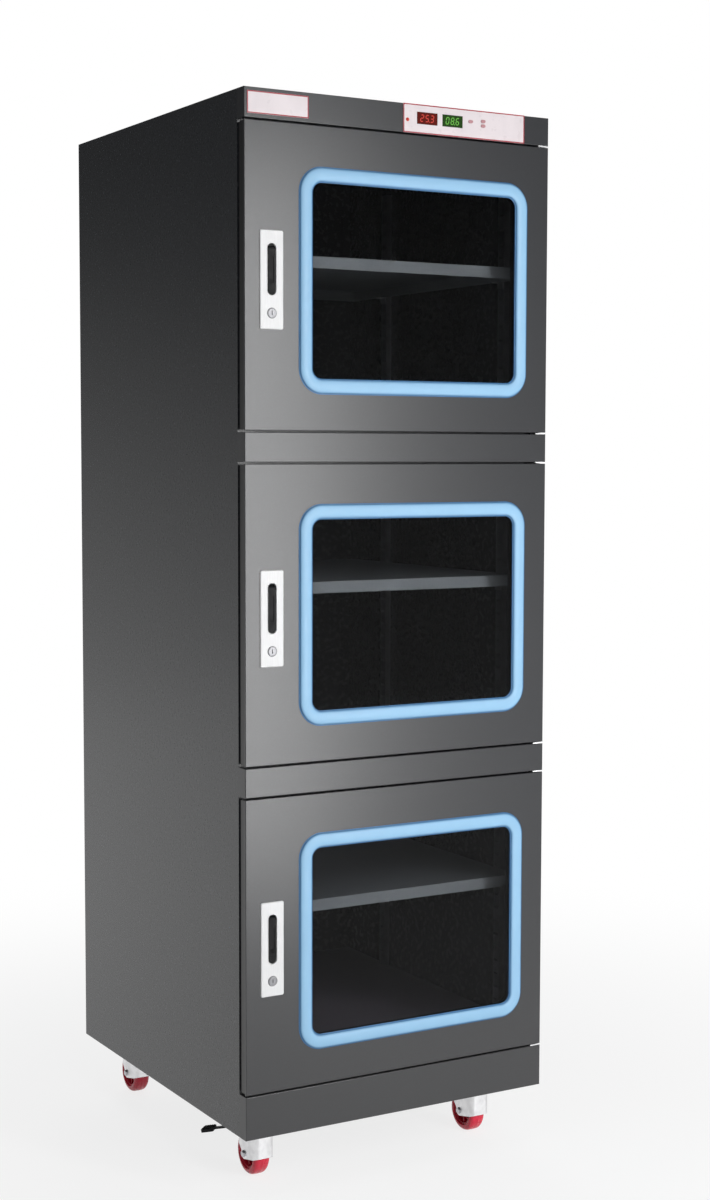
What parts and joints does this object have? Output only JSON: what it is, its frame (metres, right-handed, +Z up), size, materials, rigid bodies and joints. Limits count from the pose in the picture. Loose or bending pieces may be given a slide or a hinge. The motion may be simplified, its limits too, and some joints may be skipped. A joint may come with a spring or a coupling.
{
  "type": "drying cabinet",
  "caption": "Tall electronic drying cabinet of dark sheet steel with stacked windowed doors, a display fascia, shelves, a rear dry unit and swivel casters.",
  "frame": {"origin": "on the floor under the middle of the cabinet's body", "axes": "+Z up, the doors face -Y, and +X is to the right seen from the front, on the hinge side"},
  "size_m": [0.6005, 0.7165, 1.844],
  "materials": {
    "painted_steel": "fine-textured dark graphite powder coat",
    "door_paint": "fine-textured dark graphite powder coat",
    "black_tray": "satin black",
    "dark_glass": "smoked, polished",
    "blue_rubber": "satin light-blue extrusion",
    "black_seal": "matte black magnetic strip",
    "plated_steel": "bright zinc",
    "handle_metal": "satin nickel",
    "black_plastic": "fine matte",
    "lock_metal": "polished",
    "shelf_paint": "grey powder coat",
    "upright_steel": "dull zinc",
    "white_panel": "white film with a thin red edge",
    "display_face": "dark window with lit digits",
    "board_green": "solder resist",
    "button_plastic": "soft matte",
    "white_plastic": "moulded",
    "desiccant": "moulded cartridge",
    "red_tyre": "satin polyurethane"
  },
  "bodies": {
    "root": {"left_side_panel": "painted_steel", "right_side_panel": "painted_steel", "back_panel": "painted_steel", "top_panel": "painted_steel", "base_panel": "painted_steel", "chamber_floor": "painted_steel", "fascia": "painted_steel", "middle_rails": "painted_steel", "kick_plate": "painted_steel", "hinge_brackets": "plated_steel", "shelf_uprights": "upright_steel", "shelf_clips": "plated_steel", "shelves": "shelf_paint", "label_plate": "white_panel", "display_bezel": "white_panel", "displays": "display_face", "control_board": "board_green", "dry_unit_case": "white_plastic", "desiccant_cartridge": "desiccant", "power_inlet": "black_plastic", "caster_plates": "plated_steel"},
    "set_button": {"set_button": "button_plastic"},
    "up_button": {"up_button": "button_plastic"},
    "down_button": {"down_button": "button_plastic"},
    "fan": {"dry_unit_fan": "black_plastic"},
    "flap": {"air_flap": "white_plastic"},
    "lower_door": {"lower_door_skin": "door_paint", "lower_door_pan": "black_tray", "lower_door_glass": "dark_glass", "lower_window_trim": "blue_rubber", "lower_door_seal": "black_seal", "lower_handle_plate": "handle_metal"},
    "lower_pull_lever": {"lower_pull_lever": "black_plastic"},
    "lower_lock_cylinder": {"lower_lock_cylinder": "lock_metal"},
    "middle_door": {"middle_door_skin": "door_paint", "middle_door_pan": "black_tray", "middle_door_glass": "dark_glass", "middle_window_trim": "blue_rubber", "middle_door_seal": "black_seal", "middle_handle_plate": "handle_metal"},
    "middle_pull_lever": {"middle_pull_lever": "black_plastic"},
    "middle_lock_cylinder": {"middle_lock_cylinder": "lock_metal"},
    "upper_door": {"upper_door_skin": "door_paint", "upper_door_pan": "black_tray", "upper_door_glass": "dark_glass", "upper_window_trim": "blue_rubber", "upper_door_seal": "black_seal", "upper_handle_plate": "handle_metal"},
    "upper_pull_lever": {"upper_pull_lever": "black_plastic"},
    "upper_lock_cylinder": {"upper_lock_cylinder": "lock_metal"},
    "front_left_fork": {"front_left_fork": "plated_steel"},
    "front_left_wheel": {"front_left_wheel": "red_tyre"},
    "front_left_brake_pedal": {"front_left_brake_pedal": "black_plastic"},
    "front_right_fork": {"front_right_fork": "plated_steel"},
    "front_right_wheel": {"front_right_wheel": "red_tyre"},
    "front_right_brake_pedal": {"front_right_brake_pedal": "black_plastic"},
    "rear_left_fork": {"rear_left_fork": "plated_steel"},
    "rear_left_wheel": {"rear_left_wheel": "red_tyre"},
    "rear_right_fork": {"rear_right_fork": "plated_steel"},
    "rear_right_wheel": {"rear_right_wheel": "red_tyre"}
  },
  "joints": [
    {"name": "set_button_press", "type": "slide", "parent": "root", "child": "set_button", "axis": [0, 1, 0], "range_m": [0, 0.0008], "stiffness_N_per_m": 400},
    {"name": "up_button_press", "type": "slide", "parent": "root", "child": "up_button", "axis": [0, 1, 0], "range_m": [0, 0.0008], "stiffness_N_per_m": 400},
    {"name": "down_button_press", "type": "slide", "parent": "root", "child": "down_button", "axis": [0, 1, 0], "range_m": [0, 0.0008], "stiffness_N_per_m": 400},
    {"name": "fan_spin", "type": "hinge", "parent": "root", "child": "fan", "pos_m": [0.062, 0.2965, 1.2795], "axis": [0, 1, 0], "continuous": true},
    {"name": "flap_changeover", "type": "hinge", "parent": "root", "child": "flap", "pos_m": [0.062, 0.3125, 1.2155], "axis": [1, 0, 0], "range_deg": [0, 80]},
    {"name": "lower_door_hinge", "type": "hinge", "parent": "root", "child": "lower_door", "pos_m": [0.291, -0.341, 0.43375], "axis": [0, 0, 1], "range_deg": [0, 110]},
    {"name": "lower_lever_pull", "type": "hinge", "parent": "lower_door", "child": "lower_pull_lever", "pos_m": [-0.251, -0.345, 0.4775], "axis": [-1, 0, 0], "range_deg": [0, 35], "stiffness_Nm_per_rad": 0.15},
    {"name": "lower_lock_turn", "type": "hinge", "parent": "lower_door", "child": "lower_lock_cylinder", "pos_m": [-0.251, -0.35, 0.3745], "axis": [0, 1, 0], "range_deg": [0, 90]},
    {"name": "middle_door_hinge", "type": "hinge", "parent": "root", "child": "middle_door", "pos_m": [0.291, -0.341, 0.98825], "axis": [0, 0, 1], "range_deg": [0, 110]},
    {"name": "middle_lever_pull", "type": "hinge", "parent": "middle_door", "child": "middle_pull_lever", "pos_m": [-0.251, -0.345, 1.032], "axis": [-1, 0, 0], "range_deg": [0, 35], "stiffness_Nm_per_rad": 0.15},
    {"name": "middle_lock_turn", "type": "hinge", "parent": "middle_door", "child": "middle_lock_cylinder", "pos_m": [-0.251, -0.35, 0.929], "axis": [0, 1, 0], "range_deg": [0, 90]},
    {"name": "upper_door_hinge", "type": "hinge", "parent": "root", "child": "upper_door", "pos_m": [0.291, -0.341, 1.54275], "axis": [0, 0, 1], "range_deg": [0, 110]},
    {"name": "upper_lever_pull", "type": "hinge", "parent": "upper_door", "child": "upper_pull_lever", "pos_m": [-0.251, -0.345, 1.5865], "axis": [-1, 0, 0], "range_deg": [0, 35], "stiffness_Nm_per_rad": 0.15},
    {"name": "upper_lock_turn", "type": "hinge", "parent": "upper_door", "child": "upper_lock_cylinder", "pos_m": [-0.251, -0.35, 1.4835], "axis": [0, 1, 0], "range_deg": [0, 90]},
    {"name": "front_left_swivel", "type": "hinge", "parent": "root", "child": "front_left_fork", "pos_m": [-0.224, -0.255, 0.0987], "axis": [0, 0, 1], "continuous": true},
    {"name": "front_left_roll", "type": "hinge", "parent": "front_left_fork", "child": "front_left_wheel", "pos_m": [-0.224, -0.228, 0.0375], "axis": [1, 0, 0], "continuous": true},
    {"name": "front_left_brake_press", "type": "hinge", "parent": "front_left_fork", "child": "front_left_brake_pedal", "pos_m": [-0.224, -0.235, 0.085], "axis": [-1, 0, 0], "range_deg": [0, 12]},
    {"name": "front_right_swivel", "type": "hinge", "parent": "root", "child": "front_right_fork", "pos_m": [0.224, -0.255, 0.0987], "axis": [0, 0, 1], "continuous": true},
    {"name": "front_right_roll", "type": "hinge", "parent": "front_right_fork", "child": "front_right_wheel", "pos_m": [0.224, -0.228, 0.0375], "axis": [1, 0, 0], "continuous": true},
    {"name": "front_right_brake_press", "type": "hinge", "parent": "front_right_fork", "child": "front_right_brake_pedal", "pos_m": [0.224, -0.235, 0.085], "axis": [-1, 0, 0], "range_deg": [0, 12]},
    {"name": "rear_left_swivel", "type": "hinge", "parent": "root", "child": "rear_left_fork", "pos_m": [-0.224, 0.255, 0.0987], "axis": [0, 0, 1], "continuous": true},
    {"name": "rear_left_roll", "type": "hinge", "parent": "rear_left_fork", "child": "rear_left_wheel", "pos_m": [-0.224, 0.282, 0.0375], "axis": [1, 0, 0], "continuous": true},
    {"name": "rear_right_swivel", "type": "hinge", "parent": "root", "child": "rear_right_fork", "pos_m": [0.224, 0.255, 0.0987], "axis": [0, 0, 1], "continuous": true},
    {"name": "rear_right_roll", "type": "hinge", "parent": "rear_right_fork", "child": "rear_right_wheel", "pos_m": [0.224, 0.282, 0.0375], "axis": [1, 0, 0], "continuous": true}
  ]
}
